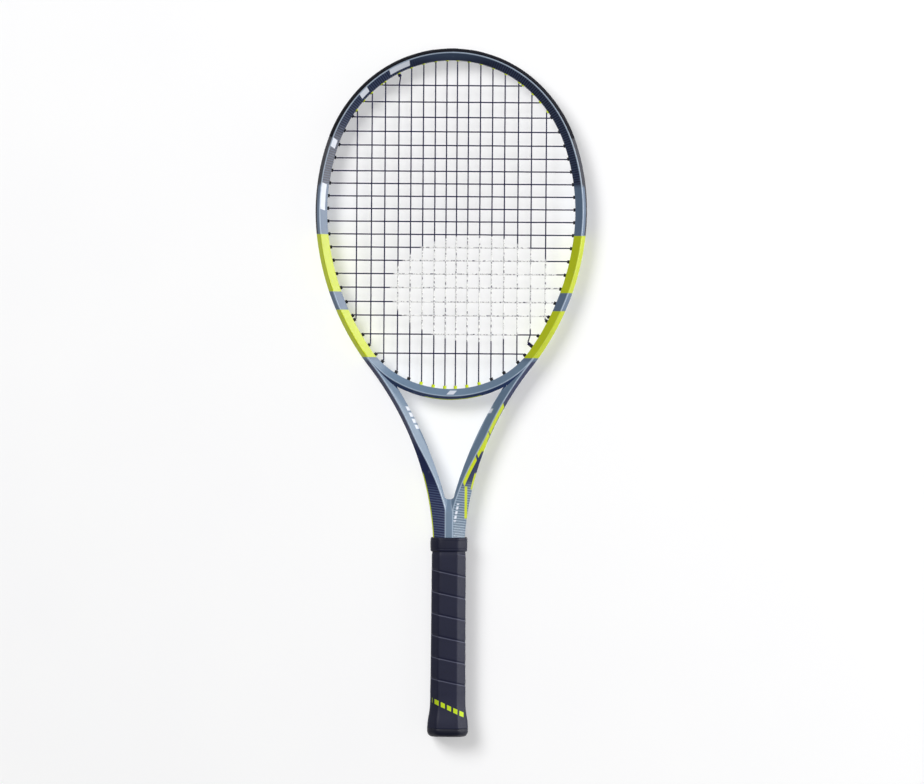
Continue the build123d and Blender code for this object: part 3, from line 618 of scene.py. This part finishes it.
class Tone:
    """A number that varies over a surface; arithmetic on it adds Math nodes."""

    def __init__(self, finish, socket):
        self.finish, self.socket = finish, socket

    def math(self, operation, *values):
        return self.finish.node("Math", {"operation": operation}, values)

    def __add__(self, other):
        return self.math("ADD", self, other)

    def __sub__(self, other):
        return self.math("SUBTRACT", self, other)

    def __rsub__(self, other):
        return self.math("SUBTRACT", other, self)

    def __mul__(self, other):
        return self.math("MULTIPLY", self, other)

    def __truediv__(self, other):
        return self.math("DIVIDE", self, other)

    def __abs__(self):
        return self.math("ABSOLUTE", self)

    def wave(self):
        return self.math("SINE", self)

    def part(self):
        """What is left after the whole number."""
        return self.math("FRACT", self)

    def rise(self, low, high):
        """0 below low, 1 above high, and smooth between them."""
        return self.finish.node(
            "MapRange", {"interpolation_type": "SMOOTHSTEP"}, {0: self, 1: low, 2: high}
        )

    def band(self, low, high, soft):
        """1 between two values, with soft edges."""
        return self.rise(low - soft, low + soft) * (1 - self.rise(high - soft, high + soft))

    __radd__, __rmul__ = __add__, __mul__


class Finish:
    """A material in the making."""

    def __init__(self, name):
        self.material = bpy.data.materials.new(name)
        self.material.use_nodes = True
        self.tree = self.material.node_tree
        self.tree.nodes.clear()
        x, y, z = (self.node("SeparateXYZ", {}, {0: self.spot()}, k) for k in range(3))
        self.x, self.z = x * 1000, (z - axis_z) * 1000
        self.up = (y - butt_y) * 1000

    def node(self, kind, settings, inputs, output=0):
        """Any node: what is set on it, what goes into its sockets, and the output wanted."""
        made = self.tree.nodes.new("ShaderNode" + kind)
        for key, value in settings.items():
            setattr(made, key, value)
        for place, value in inputs.items() if isinstance(inputs, dict) else enumerate(inputs):
            if isinstance(value, Tone):
                self.tree.links.new(value.socket, made.inputs[place])
            else:
                made.inputs[place].default_value = value
        return Tone(self, made.outputs[output])

    def spot(self):
        """The place on the piece, in the racket's own frame."""
        return self.node("TexCoord", {}, {}, "Object")

    def value(self, name):
        """A number stored on the mesh."""
        return self.node("Attribute", {"attribute_name": name}, {}, "Fac")

    def noise(self, scale, detail=3.0, stretch=(1, 1, 1), rough=0.5):
        """Cloudy noise from 0 to 1."""
        spot = self.node("VectorMath", {"operation": "MULTIPLY"}, {0: self.spot(), 1: stretch})
        return self.node(
            "TexNoise", {}, {"Vector": spot, "Scale": scale, "Detail": detail, "Roughness": rough}
        )

    def mix(self, share, one, two):
        """A colour between two."""
        return self.node("Mix", {"data_type": "RGBA"}, {0: share, 6: one, 7: two}, 2)

    def bump(self, height, strength, distance):
        """A bumpy surface from a height."""
        return self.node(
            "Bump", {}, {"Height": height, "Strength": strength, "Distance": distance}, "Normal"
        )

    def shade(self, colour, roughness, **sockets):
        """Finishes the material; underscores in a socket's name stand for spaces."""
        inputs = {"Base Color": colour, "Roughness": roughness}
        inputs.update({key.replace("_", " "): value for key, value in sockets.items()})
        shader = self.node("BsdfPrincipled", {}, inputs)
        self.node_output(shader)
        return self.material

    def node_output(self, shader):
        end = self.tree.nodes.new("ShaderNodeOutputMaterial")
        self.tree.links.new(shader.socket, end.inputs["Surface"])


def frame_lacquer():
    """Lacquered carbon: navy with fine ribs at the tip, grey-blue below, lime bands and blocks."""
    f = Finish("frame_lacquer")
    lap, depth, h, x = f.value("lap"), f.value("depth"), f.up, f.x
    rim_ridge, bed_ridge = f.value("rim_ridge"), f.value("bed_ridge")
    grain, cloud = f.noise(900, 2.0), f.noise(30, 3.0)
    right, front = x.rise(-0.5, 0.5), f.z.rise(3, 4)
    left = 1 - right
    inner = rim_ridge.rise(-0.1, 0.1)
    outer = 1 - inner
    falls = (rim_ridge * shaft_slope - bed_ridge * bridge_slope).rise(-0.1, 0.1)
    under_bridge = inner * bed_ridge.rise(-0.1, 0.1) * falls

    def ribs(along, pitch):
        return (along * (2 * pi / pitch)).wave().rise(-0.3, 0.8)

    # base colours, from the tip down
    navy = f.mix(cloud, paint("0b122a"), paint("131b36"))
    deep = f.mix(cloud, paint("0d1020"), paint("14182b"))
    steel = f.mix(cloud, paint("4f627b"), paint("5c7089"))
    pale = f.mix(cloud, paint("5f7389"), paint("6c8299"))
    tip, low = h.rise(546, 552), 1 - h.rise(372, 376)
    tip_rib = ribs(lap, 2.5) * tip * inner * (lap.rise(30, 60))
    colour = f.mix(tip, steel, f.mix(tip_rib * 0.7, navy, paint("3c4a68")))
    colour = f.mix(h.rise(668, 680) * inner * 0.6, colour, paint("3f5068"))
    colour = f.mix(tip * outer, colour, deep)
    colour = f.mix(low, colour, pale)
    colour = f.mix(low * outer, colour, f.mix(cloud, paint("131c42"), paint("1b2752")))
    colour = f.mix(under_bridge, colour, f.mix(cloud, paint("18284f"), paint("22355f")))
    dark_edge = outer * (1 - depth.rise(1.2, 1.6)) * h.rise(499, 500)
    colour = f.mix(dark_edge, colour, deep)
    # ribs beside the middle panel, dark on the left, light on the right; the right side's facets and ribs
    # are painted lighter than the left's, painted light and shade as if lit from the right
    slanted = h + x * 0.12
    low_rib = ribs(slanted, 2.5) * outer * (1 - h.rise(243, 256))
    colour = f.mix((1 - h.rise(243, 256)) * outer * right, colour, paint("53677c"))
    colour = f.mix(low_rib * left * 0.75, colour, paint("48587a"))
    colour = f.mix(low_rib * right * 0.75, colour, paint("8ea1b1"))
    # painted highlight: a light line along the rounded ridges of the hoop, shafts and bridge, standing in
    # for their shine, fainter at the left of the tip
    line = 1 - abs(rim_ridge).rise(0.35, 0.95)
    line = line * (0.55 - tip * left * 0.2) + (1 - abs(bed_ridge).rise(0.3, 0.8)) * inner * 0.55
    colour = f.mix(line.math("MINIMUM", line, 0.6), colour, paint("b4c5d8"))
    # lime
    beside = rim_ridge.band(-3.6, -0.45, 0.2) * right * outer
    slant = h - rim_ridge * 1.4
    blocks = slant.band(305.5, 333, 0.4) + slant.band(282.5, 304.3, 0.4) + slant.band(254, 280, 0.4)
    edge = outer * right * (1 - depth.rise(1.5, 1.8)) * (h.band(246, 262, 1.0) + h.band(284, 294, 1.0))
    strip = x.band(15.3, 17.9, 0.25) * h.band(217, 249, 1.0) * outer
    streak = h.band(197, 262, 2.0) * left * outer * (1 - depth.rise(0.9, 1.2))
    bridge_line = under_bridge * bed_ridge.rise(3.0, 3.2) * x.band(-25, 31, 1.5)
    lime = h.band(442, 499, 0.25) + h.band(377, 424, 0.25)
    lime = lime + blocks * beside + edge + strip + streak + bridge_line
    lime = lime.math("MINIMUM", lime, 1.0)
    colour = f.mix(lime, colour, f.mix(cloud, paint("aebb02"), paint("bfcc0c")))
    # plain white blocks and dashes
    slid = lap - depth * 0.28
    hoop_blocks = slid.band(44, 67, 0.3) + slid.band(96, 107, 0.3) + slid.band(159, 168, 0.3)
    hoop_blocks = hoop_blocks + slid.band(206, 233, 0.3)
    shaft_dash = h.band(306, 330, 0.4) * left * (h / 6.1).part().band(0.12, 0.8, 0.05)
    shaft_dash = shaft_dash + h.band(322, 326.6, 0.4) * right
    slope_line = x - h * 0.19
    panel_dash = slope_line.band(-36.2, -34.0, 0.25) * h.band(214, 232, 0.4)
    panel_dash = panel_dash * (h / 4.6).part().band(0.12, 0.8, 0.05)
    bridge_dash = (x - (h - 342) * 0.9).band(-2.0, 5.0, 0.3) * h.band(340.3, 344.2, 0.3) * (1 - under_bridge)
    white = (
        hoop_blocks * depth.band(4.7, 9.4, 0.2) * left + shaft_dash * depth.band(9.1, 12.5, 0.2) * inner
        + panel_dash + bridge_dash * inner
    ) * front
    white = white.math("MINIMUM", white, 1.0)
    colour = f.mix(white * 0.9, colour, paint("d4d9e4"))
    scuff = f.noise(160, 6.0).rise(0.62, 0.7)
    colour = f.mix(scuff * 0.08, colour, paint("8c98aa"))
    height = tip_rib * 0.8 + low_rib * 0.8 + grain * 0.1
    return f.shade(
        colour, 0.3 + cloud * 0.1 + scuff * 0.1,
        Specular_IOR_Level=0.35, Coat_Weight=0.5, Coat_Roughness=0.2,
        Normal=f.bump(height, 0.4, 0.0002),
    )


def guard_plastic():
    """Moulded guard: near-black plum with fine cross ribs and scuffed high spots."""
    f = Finish("guard_plastic")
    cloud, scuff = f.noise(40, 4.0), f.noise(220, 5.0, (1, 1, 1), 0.65).rise(0.56, 0.72)
    rib = (f.value("lap") * (2 * pi / 3.1)).wave().rise(0.2, 0.95)
    colour = f.mix(cloud, paint("05060f"), paint("0c0d1a"))
    colour = f.mix(scuff * 0.2, colour, paint("4a4756"))
    height = rib * 0.5 + f.noise(1600, 2.0) * 0.5
    return f.shade(
        colour, 0.46 + cloud * 0.1, Specular_IOR_Level=0.12, Normal=f.bump(height, 0.3, 0.0002)
    )


def moulded(name, dark, light, roughness, grain=2200):
    """Plain moulded plastic or rubber with a fine grain."""
    f = Finish(name)
    cloud = f.noise(60, 4.0)
    return f.shade(
        f.mix(cloud, paint(dark), paint(light)), roughness + cloud * 0.1,
        Specular_IOR_Level=0.3, Normal=f.bump(f.noise(grain, 2.0), 0.25, 0.0001),
    )


def string_polyester():
    """Dark polyester string, with a plain white disc stencilled on the string bed."""
    f = Finish("string_polyester")
    cloud = f.noise(300, 3.0)
    away = ((f.x - 24) * (f.x - 24) / (84 * 84) + (f.up - 446) * (f.up - 446) / (53 * 53))
    worn = f.noise(500, 3.0).rise(0.3, 0.55)
    disc = (1 - away.rise(0.97, 1.03)) * worn * f.z.rise(-0.5, 0.1)
    colour = f.mix(cloud, paint("0a0630"), paint("151044"))
    colour = f.mix(disc * 0.9, colour, paint("f4f4f2"))
    return f.shade(
        colour, 0.35 + disc * 0.3, Specular_IOR_Level=0.2, Normal=f.bump(cloud, 0.1, 0.0001)
    )


def grip_cushion():
    """Synthetic grip: near-black navy, finely pitted, with plain slanted lime dashes by the cap."""
    f = Finish("grip_cushion")
    cloud = f.noise(45, 5.0)
    pits = f.node(
        "TexVoronoi", {"feature": "F1"}, {"Vector": f.spot(), "Scale": 620.0}, "Distance"
    ).rise(0.12, 0.4)
    weave = f.noise(1500, 3.0)
    colour = f.mix(cloud, paint("10132a"), paint("191c35"))
    # the centres of the pits are painted darker: painted shade in the hollows
    colour = f.mix((1 - pits) * 0.35, colour, paint("07080e"))
    line = f.up + f.x * 0.46 - 29.3
    dash = ((f.x + 20) / 6.2).part().band(0.12, 0.78, 0.03)
    # painted highlight: a lighter line along the raised lip at the edge of each turn of the strip
    turn = f.z.math("ARCTAN2", f.z, f.x) * (0.5 / pi) - 0.25
    wound = ((f.up - wrap_start) / wrap_pitch - turn).part()
    lip = wound.band(0.955, 0.985, 0.012) * f.up.band(44, 181, 2.0)
    colour = f.mix(lip * 0.5, colour, paint("6a6c80"))
    mark = line.band(-2.4, 2.4, 0.2) * dash * f.z.rise(6, 8) * f.x.band(-15.5, 17.5, 0.3)
    colour = f.mix(mark, colour, paint("b6cf08"))
    height = pits * 0.6 + weave * 0.4
    return f.shade(
        colour, 0.4 + cloud * 0.12, Specular_IOR_Level=0.3, Normal=f.bump(height, 0.3, 0.0002)
    )


def drawn_wire():
    """Bright drawn wire."""
    f = Finish("drawn_wire")
    streak = f.noise(900, 2.0, (0.2, 1, 1))
    return f.shade(f.mix(streak, paint("8f9196"), paint("c2c4c8")), 0.28 + streak * 0.15, Metallic=1.0)


def floor_white():
    """Pale matt floor."""
    f = Finish("floor_white")
    cloud = f.noise(6, 2.0)
    return f.shade(f.mix(cloud, paint("f7f7f8"), paint("fafafa")), 0.9)


# ------------------------------------------------------------------ the racket
make_frame(frame_lacquer())
make_bumper(guard_plastic())
make_grip(grip_cushion())
make_collar(moulded("collar_rubber", "090c22", "11152e", 0.42))
cap_finish = moulded("cap_plastic", "0c0e1c", "141729", 0.4)
make_butt_cap(cap_finish)

lime_plastic = moulded("lime_plastic", "bccd00", "d0e010", 0.4)
black_plastic = moulded("black_plastic", "05050c", "0d0c18", 0.42)
strings = string_polyester()
wire = drawn_wire()
for names, finish in (
    (("head_grommets", "throat_grommets"), lime_plastic),
    (("right_side_grommets", "left_side_grommets", "corner_grommets"), black_plastic),
    (("main_string", "cross_string", "string_turns", "string_knots"), strings),
    (("handle_pallet",), moulded("pallet_foam", "7a715f", "8d8370", 0.8, 700)),
    (("trap_door",), cap_finish),
    (("butt_cap_staples", "grip_tack"), wire),
    (("finishing_tape",), moulded("cloth_tape", "16171d", "23242b", 0.7, 1500)),
):
    for name in names:
        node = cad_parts[name]
        node.data.materials.clear()
        node.data.materials.append(finish)

# ------------------------------------------------------------------ floor, light and camera
floor = bpy.data.meshes.new("floor")
reach = 6.0
corners = [(-reach, -reach, 0), (reach, -reach, 0), (reach, reach, 0), (-reach, reach, 0)]
floor.from_pydata(corners, [], [(0, 1, 2, 3)])
floor.materials.append(floor_white())
floor_object = bpy.data.objects.new("floor", floor)
bpy.context.collection.objects.link(floor_object)


def softbox(name, place, size, power, shadow=True, target=(0, 0, 0.01), tall=None):
    """A soft square or oblong light that faces the racket."""
    light = bpy.data.lights.new(name, "AREA")
    light.shape = "RECTANGLE"
    light.size, light.size_y = size, tall or size
    light.energy, light.use_shadow = power, shadow
    obj = bpy.data.objects.new(name, light)
    obj.location = place
    obj.rotation_euler = (Vector(target) - Vector(place)).to_track_quat("-Z", "Y").to_euler()
    bpy.context.collection.objects.link(obj)
    return obj


softbox("key_right", (4.6, 0.6, 3.8), 2.5, 215, shadow=False)
softbox("top_left", (-2.6, 2.4, 5.0), 2.6, 200)
softbox("overhead", (0.2, 0.0, 6.0), 3.0, 26)
softbox("side_strip", (4.2, 1.2, 0.7), 6.0, 110, shadow=False, tall=0.9)

world = bpy.data.worlds.new("studio")
bpy.context.scene.world = world
world.use_nodes = True
world.node_tree.nodes["Background"].inputs[0].default_value = (1, 1, 1, 1)
world.node_tree.nodes["Background"].inputs[1].default_value = 0.13

view_wide, view_distance, sensor = 0.9206, 5.2, 36.0
camera = bpy.data.cameras.new("camera")
camera.sensor_width = sensor
camera.lens = sensor * view_distance / view_wide
camera.clip_end = 50
camera_object = bpy.data.objects.new("camera", camera)
camera_object.location = (0.01196, 0.0, view_distance + axis_z)
camera_object.rotation_euler = (0, 0, radians(0.42))
bpy.context.collection.objects.link(camera_object)
bpy.context.scene.camera = camera_object
bpy.context.scene.view_settings.view_transform = "Standard"
